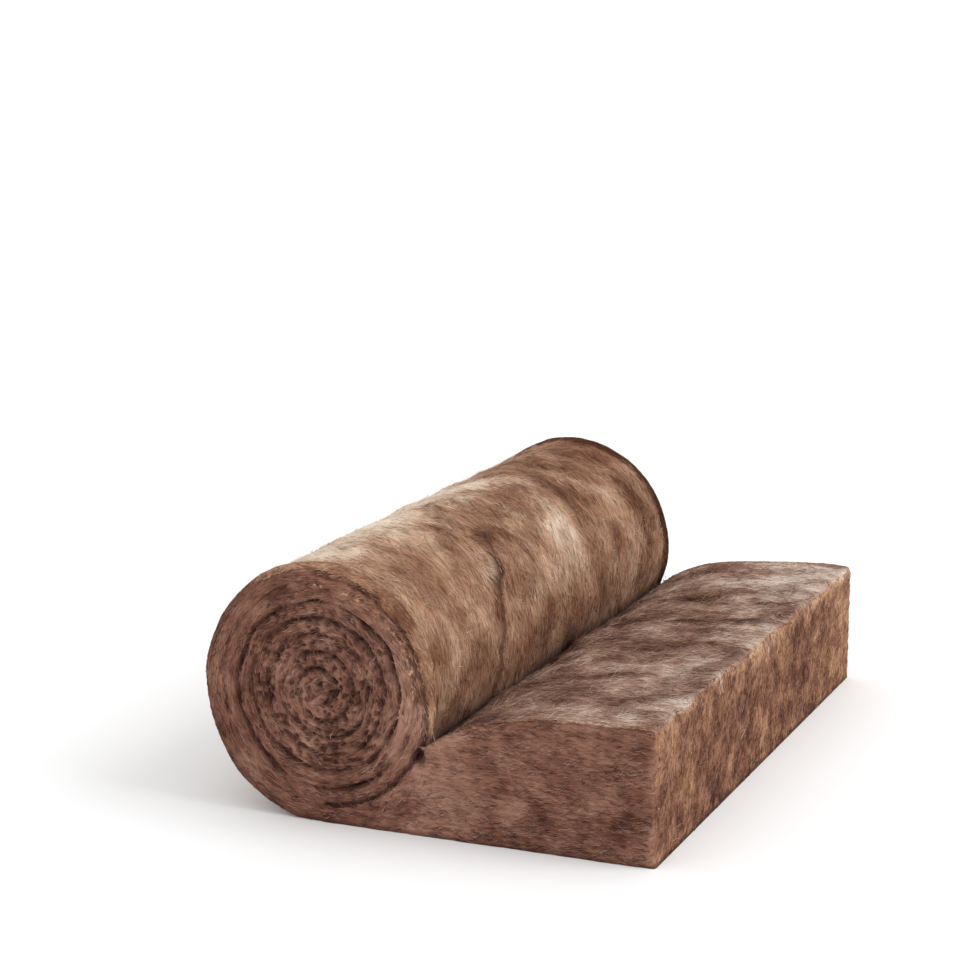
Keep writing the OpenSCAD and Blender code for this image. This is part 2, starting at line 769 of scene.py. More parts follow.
    def _cut_painted_light_and_pallor(
        self, point: Vector, station: float, across: float, depth: float
    ) -> float:
        """How pale the wool is painted at a point of a cut side, by painted light and
        highlights and by a few plain paler patches.

        Args:
            point: the point, on the plain section.
            station: its place along the blanket.
            across: its place through the blanket.
            depth: how far it lies in from the blanket's outline.

        Returns:
            The paleness, which is 0 for plain wool.
        """
        section, light_and_pallor = self.section, self.light_and_pallor
        # Painted highlight on the outer face where it is drawn over the rim.
        if depth < self.skin_wrap(station, point):
            return max(0.0, 0.5 * self._skin_painted_light(point, station, across))
        # Plainly paler towards the roll's core.
        core = light_and_pallor.core * smooth(2.5, 4.5, section.turned(station) / TAU)
        # On the run-out: painted light towards its free-end corner, and a plainly paler spot
        # round x = 0.02.
        if station < section.floor_station:
            corner = light_and_pallor.cut_corner.at(point.x) * (0.6 + wool_noise(point, 0.030, 3.9))
            return corner + light_and_pallor.cut_nip * bell(point.x - light_and_pallor.cut_nip_x, light_and_pallor.cut_nip_reach)
        # Painted light on the side of the roll's end that faces the lamp.
        arm = point - section.centre
        off_open = math.atan2(arm.z, arm.x) - math.radians(light_and_pallor.open_turn)
        open_side = max(0.0, math.cos(off_open)) ** 2
        return core + light_and_pallor.open_side * open_side * light_and_pallor.open_from.at(math.hypot(arm.x, arm.z))

    def _skin_lift(
        self, point: Vector, station: float, across: float
    ) -> tuple[float, float]:
        """How the broad face or the free end stands at a point.

        Args:
            point: the point, on the plain section.
            station: its place along the blanket.
            across: its place through the blanket.

        Returns:
            How far it stands out, and how much painted shade it takes there in its folds and
            creases, from 0 to 1.
        """
        relief, section = self.relief, self.section
        if across < 0.01 and station <= section.floor_station + 1:
            return 0.0, 0.0
        lying = smooth(0.0, 0.07, point.z)
        travel = section.travel(station)
        stretched = Vector((travel / 0.034, point.y / 0.011, relief.seed))
        lift = relief.pillow * wool_noise(point, 0.105, 1.3)
        lift += relief.lump * wool_noise(point, 0.042, 5.1)
        if station <= 0:
            stretched = Vector((point.z / 0.012, point.y / 0.030, relief.seed))
            lift *= 0.6
        lift += relief.lock * noise.noise(stretched)
        broken = smooth(-0.15, 0.35, wool_noise(point, 0.16, 9.4))
        fold = broken * bell(wool_noise(point, 0.120, 3.3), 0.10)
        if station <= 0:
            fold *= 0.4
        # Painted shade in the folds, and below in the creases.
        shade_paint = self.shade_strength.fold * fold
        lift -= relief.valley * fold
        on_top = 0 < station < section.nip_station and across > 0.5
        creases = relief.top_creases if on_top else relief.roll_creases
        wobble = 0.006 * wool_noise(point, 0.030, 6.6)
        along = point.x if on_top else travel
        if on_top or station > section.floor_station:
            for crease in creases:
                share = crease.share(along + wobble, point.y + wobble)
                lift -= crease.depth * share
                shade_paint += share * min(1.0, crease.depth / self.shade_strength.full_crease)
        return lift * lying, min(1.0, shade_paint)

    def _round_rim(self, distance: float, radius: float) -> tuple[float, float]:
        """Rolls a sharp rim over.

        Args:
            distance: how far a point lies in from the rim.
            radius: the radius that the rim is softened to.

        Returns:
            How far the point falls back from its face, and how far it draws in along it.
        """
        inside = max(0.0, radius - distance)
        keep = radius / math.hypot(radius, inside)
        return radius * (1 - keep), inside * (1 - keep)

    def _soften_end(self, point: Vector) -> None:
        """Rounds the free end's top edge in the section.

        Args:
            point: a point of the section, which it moves if it is on that edge.
        """
        radius = self.relief.end_edge
        past_x = point.x - (self.section.end_x - radius)
        past_z = point.z - (self.section.run_out_top(point.x) - radius)
        if past_x > 0 and past_z > 0:
            keep = max(past_x, past_z) / math.hypot(past_x, past_z)
            point.x -= past_x * (1 - keep)
            point.z -= past_z * (1 - keep)

    def _shape(self, mesh: bmesh.types.BMesh) -> None:
        """Moves every vertex from the plain section to the finished wool.

        Args:
            mesh: the blanket's mesh, which it changes.
        """
        half = self.section.size.width / 2
        outward: dict[tuple[float, float], Vector] = {}
        for vert in mesh.verts:
            station, across = vert[self.station], vert[self.across]
            key = (round(station, 3), round(across, 4))
            if key not in outward:
                outward[key] = self.section.outward(station, across)
            out = outward[key]
            inset = half - abs(vert.co.y)
            side = math.copysign(1.0, vert.co.y)
            if inset < 1e-5:
                self._shape_cut(vert, out, side)
            else:
                self._shape_skin(vert, out, side, inset)
            vert.co.z = max(0.0, vert.co.z)

    def _shape_skin(
        self, vert: bmesh.types.BMVert, out: Vector, side: float, inset: float
    ) -> None:
        """Shapes one vertex of the skin.

        Args:
            vert: the vertex, still on the plain section.
            out: the direction out of the skin there.
            side: the sign of the nearer cut side.
            inset: how far the vertex lies in from that side.
        """
        relief, shade_strength = self.relief, self.shade_strength
        station, across = vert[self.station], vert[self.across]
        lift, shade_paint = self._skin_lift(vert.co, station, across)
        on_roll = station > self.section.floor_station
        lift *= 0.45 + 0.55 * smooth(0.0, 0.09, inset)
        # Painted shade on the far rim of the roll and in and round the groove at the nip, and
        # a painted contact shadow along the floor.
        if on_roll and side > 0:
            shade_paint += shade_strength.far_rim * (1 - smooth(0.006, 0.030, inset))
        if on_roll or across > 0.5:
            lift -= relief.groove * self._nip_share(vert.co, relief.groove_reach)
            shade_paint += shade_strength.nip * self._nip_share(vert.co, shade_strength.nip_tint_reach)
            shade_paint += shade_strength.nip_surround * self._nip_share(vert.co, shade_strength.surround_reach)
        if station <= 0 or on_roll:
            shade_paint += shade_strength.skin_foot * (1 - smooth(0.0, 0.012, vert.co.z))
        vert[self.painted_shade] = min(1.0, shade_paint)
        vert[self.painted_light_and_pallor] = self._skin_painted_light(vert.co, station, across)
        fall, draw = self._round_rim(inset, self.shoulder_radius(station))
        self._soften_end(vert.co)
        vert.co += out * (lift - fall)
        vert.co.y -= side * draw

    def _shape_cut(self, vert: bmesh.types.BMVert, out: Vector, side: float) -> None:
        """Shapes one vertex of a cut side.

        Args:
            vert: the vertex, still on the plain section.
            out: the direction out of the skin at that station.
            side: the sign of the cut side.
        """
        section, relief, shade_strength = self.section, self.relief, self.shade_strength
        station, across = vert[self.station], vert[self.across]
        turned = section.turned(station)
        depth = self.depth_in(vert.co, station, across)
        radius = self.shoulder_radius(station)
        fall, draw = self._round_rim(depth, radius)
        rim = 1 - smooth(0.0, radius, depth)
        lift = 0.30 * self._skin_lift(vert.co, station, across)[0] if rim > 0 else 0.0
        face = 1 - rim
        travel = section.travel(station)
        deep = across * section.thickness(station)
        gap = self.crevice_depth(station, across) * face
        ply = relief.ply * noise.noise(Vector((travel / 0.030, deep / 0.007, side * 3.1)))
        ply += relief.ply * 0.7 * wool_noise(vert.co, 0.020, side * 7.7)
        turns_in = turned / TAU
        ply *= 0.45 + 0.75 * smooth(1.0, 3.0, turns_in)
        pits = smooth(0.05, 0.45, wool_noise(vert.co, relief.pit_size, side * 2.9))
        ply += relief.pit * pits * smooth(1.8, 3.2, turns_in)
        wound = smooth(-1.0, 0.6, turned)
        slip = relief.telescope * wound * noise.noise(Vector((travel / 0.30, side * 5.3, 0.0)))
        seam = 0.0
        if 0 < turned < TAU:
            behind = depth - self.skin_wrap(station, vert.co) - relief.seam
            seam = bell(behind, relief.seam) * (0.25 + 0.75 * smooth(2.6, 3.6, turned))
        mouth = self._nip_share(vert.co, relief.mouth_reach)
        recess = gap + relief.seam * seam + (ply + slip) * face + relief.mouth * mouth
        if station >= section.stations - 0.5:
            recess = relief.eye_depth
        # Painted shade in the gaps between turns, the sunken plies and pits, the seam behind
        # the rim and the mouth at the nip, and a painted contact shadow along the floor.
        shade_paint = (gap * shade_strength.gap + ply * shade_strength.ply) / relief.crevice
        shade_paint *= 1 - 0.25 * smooth(2.5, 4.5, turns_in)
        shade_paint += shade_strength.seam * seam + shade_strength.mouth * mouth
        shade_paint += shade_strength.cut_foot * (1 - smooth(0.0, 0.010, vert.co.z))
        vert[self.painted_shade] = min(1.0, max(0.0, shade_paint))
        vert[self.painted_light_and_pallor] = self._cut_painted_light_and_pallor(vert.co, station, across, depth)
        wander = relief.wander * face * smooth(0.01, 0.04, depth)
        if turned > 0:
            vert.co.x += wander * wool_noise(vert.co, 0.050, side * 1.9)
            vert.co.z += wander * wool_noise(vert.co, 0.050, side * 6.1)
        self._soften_end(vert.co)
        vert.co += out * (lift * rim - draw)
        vert.co.y -= side * (fall + recess)


def add_node(
    tree: bpy.types.NodeTree,
    kind: str,
    inputs: dict | None = None,
    stops: list[tuple[float, str]] | None = None,
    **settings: object,
) -> bpy.types.Node:
    """Adds one node with its settings, values and links.

    Args:
        tree: the tree that the node joins.
        kind: the node's Blender type.
        inputs: a value, or a socket to link from, for each input named.
        stops: the places and hex colours of a colour ramp's stops.
        **settings: the node's own properties.

    Returns:
        The new node.
    """
    node = tree.nodes.new(kind)
    for name, value in settings.items():
        setattr(node, name, value)
    for name, value in (inputs or {}).items():
        if isinstance(value, bpy.types.NodeSocket):
            tree.links.new(value, node.inputs[name])
        else:
            node.inputs[name].default_value = value
    if stops:
        ramp = node.color_ramp.elements
        while len(ramp) < len(stops):
            ramp.new(0.5)
        for element, (place, colour) in zip(ramp, stops):
            element.position = place
            element.color = linear(colour)
    return node


@dataclass(frozen=True)
class WoolFinish:
    """Spun glass wool bound with a brown plant-based binder.

    The fibres lie in plies along the blanket, so the face is matt and streaked that way,
    darkened by painted shade in its hollows and lightened by painted light, painted highlights
    and a few plain paler patches.
    """

    name: str
    # Colour of the darkest painted shade, in the wool's hollows.
    painted_shade: str
    dark: str
    mid: str
    pale: str
    tip: str
    patch_mm: float = 85
    patch_gain: float = 0.80
    lock_mm: tuple[float, float] = (42, 7)
    fibre_mm: tuple[float, float] = (18, 1.6)
    slant: float = 0.0
    lock_bump: float = 0.0020
    fibre_bump: float = 0.0008

    def face_material(self) -> bpy.types.Material:
        """Makes the material of the blanket's own face.

        Returns:
            The material, named for the wool and how its face was made.
        """
        made, tree = self._new_material(self.name)
        run = add_node(tree, "ShaderNodeUVMap", uv_map=RUN_UV).outputs["UV"]
        lock = self._streaks(tree, run, self.lock_mm, 3.0)
        fibre = self._streaks(tree, run, self.fibre_mm, 2.0)
        # Painted light raises the tone, and painted shade mixes in the darkest shade colour.
        shade_paint, painted_light_and_pallor = self._laid_in(tree, "painted_shade"), self._laid_in(tree, "painted_light_and_pallor")
        tone = self._sum(tree, lock, 0.40, self._sum(tree, fibre, 0.30, -0.35))
        tone = self._sum(tree, painted_light_and_pallor, 0.30, tone)
        body = self._tinted(tree, tone)
        coloured = add_node(tree, "ShaderNodeMix", data_type="RGBA", blend_type="MIX")
        tree.links.new(shade_paint, coloured.inputs["Factor"])
        tree.links.new(body, coloured.inputs[6])
        coloured.inputs[7].default_value = linear(self.painted_shade)
        coarse = add_node(
            tree, "ShaderNodeBump", {"Height": lock, "Distance": self.lock_bump}
        ).outputs["Normal"]
        fine = add_node(
            tree,
            "ShaderNodeBump",
            {"Height": fibre, "Distance": self.fibre_bump, "Normal": coarse},
        ).outputs["Normal"]
        self._shade(tree, coloured.outputs[2], {"Normal": fine})
        return made

    def strand_material(self) -> bpy.types.Material:
        """Makes the material of the strands teased up from that face.

        Returns:
            The material, in the face's own tints, each strand with a tone of its own.
        """
        made, tree = self._new_material(self.name + "_teased_strand")
        self._shade(tree, self._tinted(tree, self._laid_in(tree, "tone")), {})
        return made

    def _new_material(self, name: str) -> tuple[bpy.types.Material, bpy.types.NodeTree]:
        """Starts an empty node material.

        Args:
            name: the material's name.

        Returns:
            The material and its tree.
        """
        made = bpy.data.materials.new(name)
        made.use_nodes = True
        made.node_tree.nodes.clear()
        return made, made.node_tree

    def _laid_in(self, tree: bpy.types.NodeTree, name: str) -> bpy.types.NodeSocket:
        """Reads a value that was laid into the mesh, such as how much painted shade the wool
        takes.
        """
        return add_node(tree, "ShaderNodeAttribute", attribute_name=name).outputs["Fac"]

    def _sum(
        self,
        tree: bpy.types.NodeTree,
        value: bpy.types.NodeSocket,
        gain: float,
        base: bpy.types.NodeSocket | float,
    ) -> bpy.types.NodeSocket:
        """Adds a value, times its gain, to a base."""
        return add_node(
            tree, "ShaderNodeMath", {0: value, 1: gain, 2: base}, operation="MULTIPLY_ADD"
        ).outputs[0]

    def _tinted(
        self, tree: bpy.types.NodeTree, tone: bpy.types.NodeSocket
    ) -> bpy.types.NodeSocket:
        """Turns the wool's broad patches and a tone into its colour.

        Args:
            tree: the material's tree.
            tone: how light the wool is at a place, about 0.

        Returns:
            The colour's socket.
        """
        place = add_node(tree, "ShaderNodeTexCoord").outputs["Object"]
        patch = add_node(
            tree,
            "ShaderNodeTexNoise",
            {"Vector": place, "Scale": per_metre(self.patch_mm), "Detail": 2.5},
        ).outputs["Fac"]
        even = 0.5 * (1 - self.patch_gain)
        blend = self._sum(tree, patch, self.patch_gain, self._sum(tree, tone, 1.0, even))
        stops = [(0.32, self.dark), (0.50, self.mid), (0.68, self.pale), (0.95, self.tip)]
        return add_node(
            tree, "ShaderNodeValToRGB", {"Fac": blend}, stops=stops
        ).outputs["Color"]

    def _shade(
        self,
        tree: bpy.types.NodeTree,
        colour: bpy.types.NodeSocket,
        more: dict[str, bpy.types.NodeSocket],
    ) -> None:
        """Ends the tree in a matt, slightly downy shader.

        Args:
            tree: the material's tree.
            colour: the wool's colour.
            more: other sockets that the shader takes, such as a normal.
        """
        shader = add_node(
            tree,
            "ShaderNodeBsdfPrincipled",
            {
                "Base Color": colour,
                "Roughness": 0.9,
                "Specular IOR Level": 0.12,
                "Sheen Weight": 0.06,
                "Sheen Roughness": 0.5,
                **more,
            },
        ).outputs["BSDF"]
        add_node(tree, "ShaderNodeOutputMaterial", {"Surface": shader})

    def _streaks(
        self,
        tree: bpy.types.NodeTree,
        run: bpy.types.NodeSocket,
        size_mm: tuple[float, float],
        detail: float,
    ) -> bpy.types.NodeSocket:
        """Noise drawn out along the blanket.

        Args:
            tree: the material's tree.
            run: the coordinates along and across the wool, in metres.
            size_mm: the length and breadth of one streak.
            detail: the noise's detail.

        Returns:
            The noise's socket.
        """
        scale = (per_metre(size_mm[0]), per_metre(size_mm[1]), 1.0)
        turned = add_node(
            tree, "ShaderNodeMapping", {"Vector": run, "Rotation": (0, 0, self.slant)}
        ).outputs["Vector"]
        drawn = add_node(
            tree, "ShaderNodeMapping", {"Vector": turned, "Scale": scale}
        ).outputs["Vector"]
        return add_node(
            tree,
            "ShaderNodeTexNoise",
            {"Vector": drawn, "Scale": 1.0, "Detail": detail, "Distortion": 0.6},
        ).outputs["Fac"]


# The outer face of the roll was laid down on the line's belt: hairy, streaked and tan.
ROLL_FACE = WoolFinish(
    name="glass_wool_spun_outer_face",
    painted_shade="#210b04", dark="#683f2b", mid="#8d664d", pale="#b08d73", tip="#e6d6c4",
    patch_gain=0.78,
    slant=math.radians(12),
)
# The inner face was pressed in the roll and lofts as it opens: browner, long-streaked.
TOP_FACE = WoolFinish(
    name="glass_wool_spun_inner_face",
    painted_shade="#1f0a05", dark="#523228", mid="#7b5849", pale="#a48675", tip="#e2d4c8",
    patch_gain=0.85,
    lock_mm=(60, 8),
)
# The free end was torn across the plies: amber, mottled with dark pits.
TORN_FACE = WoolFinish(
    name="glass_wool_torn_end",
    painted_shade="#38180d", dark="#4d2b1e", mid="#7c523f", pale="#9f7558", tip="#cfab88",
    patch_mm=45,
    patch_gain=0.75,
    lock_mm=(26, 8),
)
# The cut sides were sawn through the plies: denser, redder and darker.
SAWN_FACE = WoolFinish(
    name="glass_wool_sawn_side",
    painted_shade="#2b100a", dark="#4a271d", mid="#7b5343", pale="#9c7361", tip="#c0998a",
    patch_mm=50,
    patch_gain=0.55,
    lock_mm=(34, 6),
    lock_bump=0.0030,
)
# The outer face drawn over the rim of the roll's ends: a paler, warmer copy of its colours, as
# a painted highlight.
RIM_FACE = WoolFinish(
    name="glass_wool_over_rim_painted_highlight",
    painted_shade="#3f1d10", dark="#80543d", mid="#aa7e62", pale="#c69f82", tip="#e6cdb4",
    patch_mm=60,
    lock_mm=(40, 6),
)
ZONE_FINISHES = {
    Zone.ROLL: ROLL_FACE,
    Zone.RUN_OUT_TOP: TOP_FACE,
    Zone.UNDERSIDE: ROLL_FACE,
    Zone.FREE_END: TORN_FACE,
    Zone.CUT_SIDE: SAWN_FACE,
    Zone.ROLL_RIM: RIM_FACE,
}


@dataclass
class FaceSamples:
    """The blanket's faces as arrays, for strewing strands on."""

    centres: np.ndarray
    normals: np.ndarray
    areas: np.ndarray
    zones: np.ndarray
    # Each face's painted shade, then its painted light with a few plain paler patches.
    hollows: np.ndarray
    face_light_and_pallor: np.ndarray
    from_nip: np.ndarray
    tree: BVHTree
    roll_centre: np.ndarray
    roll_reach: float

    @classmethod
    def read(cls, piece: bpy.types.Object, section: Section) -> "FaceSamples":
        """Reads the finished blanket.

        Args:
            piece: the blanket.
            section: its section.

        Returns:
            The face arrays and a search tree.
        """
        data = piece.data
        faces, points = data.polygons, len(data.vertices)
        count = len(faces)
        centres = read_array(faces, "center", count * 3).reshape(-1, 3)
        normals = read_array(faces, "normal", count * 3).reshape(-1, 3)
        zones = read_array(data.attributes["zone"].data, "value", count, np.int32)
        starts = read_array(faces, "loop_start", count, np.int32)
        first = read_array(data.loops, "vertex_index", len(data.loops), np.int32)[starts]
        from_nip = np.hypot(centres[:, 0] - section.nip.x, centres[:, 2] - section.nip.z)
        from_nip[zones == list(Zone).index(Zone.CUT_SIDE)] = 1.0
        tree = BVHTree.FromPolygons(
            [v.co for v in data.vertices], [tuple(p.vertices) for p in faces]
        )
        return cls(
            centres,
            normals,
            read_array(faces, "area", count),
            zones,
            read_array(data.attributes["painted_shade"].data, "value", points)[first],
            read_array(data.attributes["painted_light_and_pallor"].data, "value", points)[first],
            from_nip,
            tree,
            np.array(section.centre),
            section.size.start_r,
        )

    def grain(self, chosen: np.ndarray) -> np.ndarray:
        """Direction of the plies at each chosen face, in the face's own plane.

        Args:
            chosen: the faces' places in the arrays.

        Returns:
            A direction of unit length for each.
        """
        points, zones = self.centres[chosen], self.zones[chosen]
        normals = self.normals[chosen]
        across = np.array([0.0, 1.0, 0.0])
        along = np.cross(across, normals)
        order = list(Zone)
        cut = np.isin(zones, [order.index(Zone.CUT_SIDE), order.index(Zone.ROLL_RIM)])
        arm = points[cut] - self.roll_centre
        wound = np.stack([-arm[:, 2], np.zeros(len(arm)), arm[:, 0]], axis=1)
        flat = np.tile([1.0, 0.0, 0.0], (len(arm), 1))
        in_roll = np.hypot(arm[:, 0], arm[:, 2]) < self.roll_reach
        along[cut] = np.where(in_roll[:, None], wound, flat)
        along[zones == order.index(Zone.FREE_END)] = (0.0, 0.5, 0.8)
        along -= normals * (along * normals).sum(axis=1, keepdims=True)
        return along / np.maximum(np.linalg.norm(along, axis=1, keepdims=True), 1e-9)


@dataclass
class StrandLayer:
    """Thousands of copies of one slim closed spindle, laid on the wool."""

    name: str
    finish: WoolFinish
    zones: dict[Zone, float]
    count: int
    length: tuple[float, float]
    breadth: tuple[float, float]
    lift: tuple[float, float]
    stray: float
    clump: int
    tone: tuple[float, float]
    seed: int
    slant: float = 0.0
    swirl: float = 0.5
    one_end_up: bool = False
    rings: int = 1
    edge_reach: float = 1.0
    nip_clearance: float = 0.030

    def _spindle(self) -> tuple[np.ndarray, np.ndarray]:
        """Makes one spindle of unit length.

        Returns:
            Its corners, along then across, and its faces.
        """
        mesh = bmesh.new()
        depth = 0.5 if self.rings == 1 else 0.34
        bmesh.ops.create_cone(
            mesh,
            cap_ends=True,
            segments=3,
            radius1=1.0,
            radius2=0.0 if self.rings == 1 else 1.0,
            depth=depth,
        )
        caps = [f for f in mesh.faces if len({round(v.co.z, 4) for v in f.verts}) == 1]
        tips = bmesh.ops.poke(mesh, faces=caps)["verts"]
        for tip in tips:
            tip.co.z += math.copysign((1 - depth) / self.rings, tip.co.z)
        bmesh.ops.triangulate(mesh, faces=mesh.faces)
        bmesh.ops.recalc_face_normals(mesh, faces=mesh.faces)
        middle = (max(v.co.z for v in mesh.verts) + min(v.co.z for v in mesh.verts)) / 2
        places = np.array([(v.co.z - middle, v.co.x, v.co.y) for v in mesh.verts])
        faces = np.array([[v.index for v in f.verts] for f in mesh.faces])
        mesh.free()
        return places, faces

    def build(self, samples: FaceSamples) -> bpy.types.Object:
        """Strews the strands and joins them into one mesh.

        Args:
            samples: the blanket's faces.

        Returns:
            The finished object, with its place in its mesh.
        """
        draw = np.random.default_rng(self.seed)
        chosen = self._choose(samples, draw)
        frames = self._frames(samples, chosen, draw)
        places, faces = self._spindle()
        stations, station = np.unique(np.round(places[:, 0], 4), return_inverse=True)
        lines = self._lines(samples, frames, stations)
        whole = self._unbroken(lines, frames)
        frames = {key: value[whole] for key, value in frames.items()}
        return self._join(lines[whole], frames, places, station, faces)

    def _choose(self, samples: FaceSamples, draw: np.random.Generator) -> np.ndarray:
        """Picks a face for each clump, and gives each strand its clump's face.

        Args:
            samples: the blanket's faces.
            draw: the layer's seeded generator.

        Returns:
            The face of each strand.
        """
        order = list(Zone)
        weight = np.zeros(len(order))
        for zone, share in self.zones.items():
            weight[order.index(zone)] = share
        inset = np.abs(samples.centres[:, 1]).max() - np.abs(samples.centres[:, 1])
        kept = (samples.from_nip > self.nip_clearance) & (inset < self.edge_reach)
        chance = samples.areas * weight[samples.zones] * kept
        clumps = draw.choice(
            len(chance), self.count // self.clump, p=chance / chance.sum()
        )
        return np.repeat(clumps, self.clump)

    def _frames(
        self, samples: FaceSamples, chosen: np.ndarray, draw: np.random.Generator
    ) -> dict[str, np.ndarray]:
        """Gives each strand its middle, its heading, its length and its lift.

        Args:
            samples: the blanket's faces.
            chosen: the face of each strand.
            draw: the layer's seeded generator.

        Returns:
            The values of all the strands, by name.
        """
        count = len(chosen)
        clumps = count // self.clump
        normals = samples.normals[chosen]
        grain = samples.grain(chosen)
        side = np.cross(normals, grain)
        clump_turn = np.repeat(draw.normal(0, self.swirl, clumps), self.clump)
        turn = self.slant + clump_turn + draw.normal(0, self.stray, count)
        heading = grain * np.cos(turn)[:, None] + side * np.sin(turn)[:, None]
        spread = 0.0035 * math.sqrt(self.clump)
        off = draw.uniform(-1, 1, (count, 2)) * spread
        middles = samples.centres[chosen] + grain * off[:, :1] * 3 + side * off[:, 1:]
        tone = np.repeat(draw.uniform(*self.tone, clumps), self.clump)
        return {
            "middle": middles,
            "heading": heading,
            "normal": normals,
            "length": draw.uniform(*self.length, count),
            "breadth": draw.uniform(*self.breadth, count),
            "lift": draw.uniform(*self.lift, count),
            "bend": draw.normal(0, 0.4, count),
            # Each strand also takes the painted light and painted shade of its face.
            "tone": tone
            + draw.normal(0, 0.04, count)
            + 0.30 * samples.face_light_and_pallor[chosen]
            - 0.55 * samples.hollows[chosen],
        }

    def _lines(
        self,
        samples: FaceSamples,
        frames: dict[str, np.ndarray],
        stations: np.ndarray,
    ) -> np.ndarray:
        """Lays each strand's centreline on the wool.

        Args:
            samples: the blanket's faces.
            frames: each strand's place and size.
            stations: the places along a strand that carry corners, from -0.5 to 0.5.

        Returns:
            Points, as strand by station by coordinate.
        """
        side = np.cross(frames["normal"], frames["heading"])
        length = frames["length"][:, None, None]
        reach = stations[None, :, None] * length
        bow = (stations[None, :, None] ** 2 - 0.08) * length * frames["bend"][:, None, None]
        points = (
            frames["middle"][:, None, :]
            + frames["heading"][:, None, :] * reach
            + side[:, None, :] * bow
        )
        flat = points.reshape(-1, 3)
        if self.one_end_up:
            arch = (stations + 0.5) ** 1.6
        else:
            arch = 1 - (2 * stations) ** 2
        rise = (frames["lift"][:, None] * arch[None, :] - 0.0004).reshape(-1)
        for i, point in enumerate(flat):
            found, normal, _, _ = samples.tree.find_nearest(Vector(point))
            flat[i] = found + normal * rise[i]
        flat[:, 2] = np.maximum(flat[:, 2], 0.0008)
        return flat.reshape(points.shape)

    def _unbroken(self, lines: np.ndarray, frames: dict[str, np.ndarray]) -> np.ndarray:
        """Which strands lie smoothly, and don't jump across a gap in the wool.

        Args:
            lines: the centrelines.
            frames: each strand's place and size.

        Returns:
            True or False for each strand.
        """
        chord = np.linalg.norm(lines[:, -1] - lines[:, 0], axis=1)
        path = np.linalg.norm(np.diff(lines, axis=1), axis=2).sum(axis=1)
        length = frames["length"]
        return (path < 1.35 * length) & (chord > 0.75 * path) & (path > 0.5 * length)

    def _join(
        self,
        lines: np.ndarray,
        frames: dict[str, np.ndarray],
        places: np.ndarray,
        station: np.ndarray,
        faces: np.ndarray,
    ) -> bpy.types.Object:
        """Puts a copy of the spindle on every centreline, as one mesh.

        Args:
            lines: the centrelines.
            frames: each strand's place and size.
            places: the spindle's corners.
            station: which station of the centreline each corner stands at.
            faces: the spindle's faces.

        Returns:
            The joined object.
        """
        count, step = len(lines), len(places)
        side = np.cross(frames["normal"], frames["heading"])[:, None, :]
        half = frames["breadth"][:, None, None] / 2
        is_ring = (np.abs(places[:, 1]) + np.abs(places[:, 2]) > 0.1)[None, :, None]
        sideways = side * half * places[None, :, 1:2]
        upwards = frames["normal"][:, None, :] * half * 0.6 * places[None, :, 2:3]
        corners_at = lines[:, station, :] + is_ring * (sideways + upwards)
        tris = faces[None, :, :] + (np.arange(count) * step)[:, None, None]
        data = bpy.data.meshes.new(self.name)
        data.from_pydata(
            corners_at.reshape(-1, 3).tolist(), [], tris.reshape(-1, 3).tolist()
        )
        tone = data.attributes.new("tone", "FLOAT", "POINT")
        tone.data.foreach_set("value", np.repeat(frames["tone"], step).astype(np.float32))
        self._map(data, places, faces, count)
        data.polygons.foreach_set("use_smooth", [True] * len(data.polygons))
        data.materials.append(self.finish.strand_material())
        return link_new_object(data)

    def _map(
        self, data: bpy.types.Mesh, places: np.ndarray, faces: np.ndarray, count: int
    ) -> None:
        """Gives each strand a small cell of its own in the map.

        Args:
            data: the joined mesh.
            places: the spindle's corners.
            faces: the spindle's faces.
            count: how many strands there are.
        """
        grid = math.ceil(math.sqrt(count))
        cell = np.stack([np.arange(count) % grid, np.arange(count) // grid], axis=1)
        inside = places[faces.reshape(-1)][:, :2] * (0.7, 0.35) + 0.5
        spots = (cell[:, None, :] + inside[None, :, :]) / grid
        layer = data.uv_layers.new(name=BAKE_UV)
        layer.data.foreach_set("uv", spots.reshape(-1).astype(np.float32))


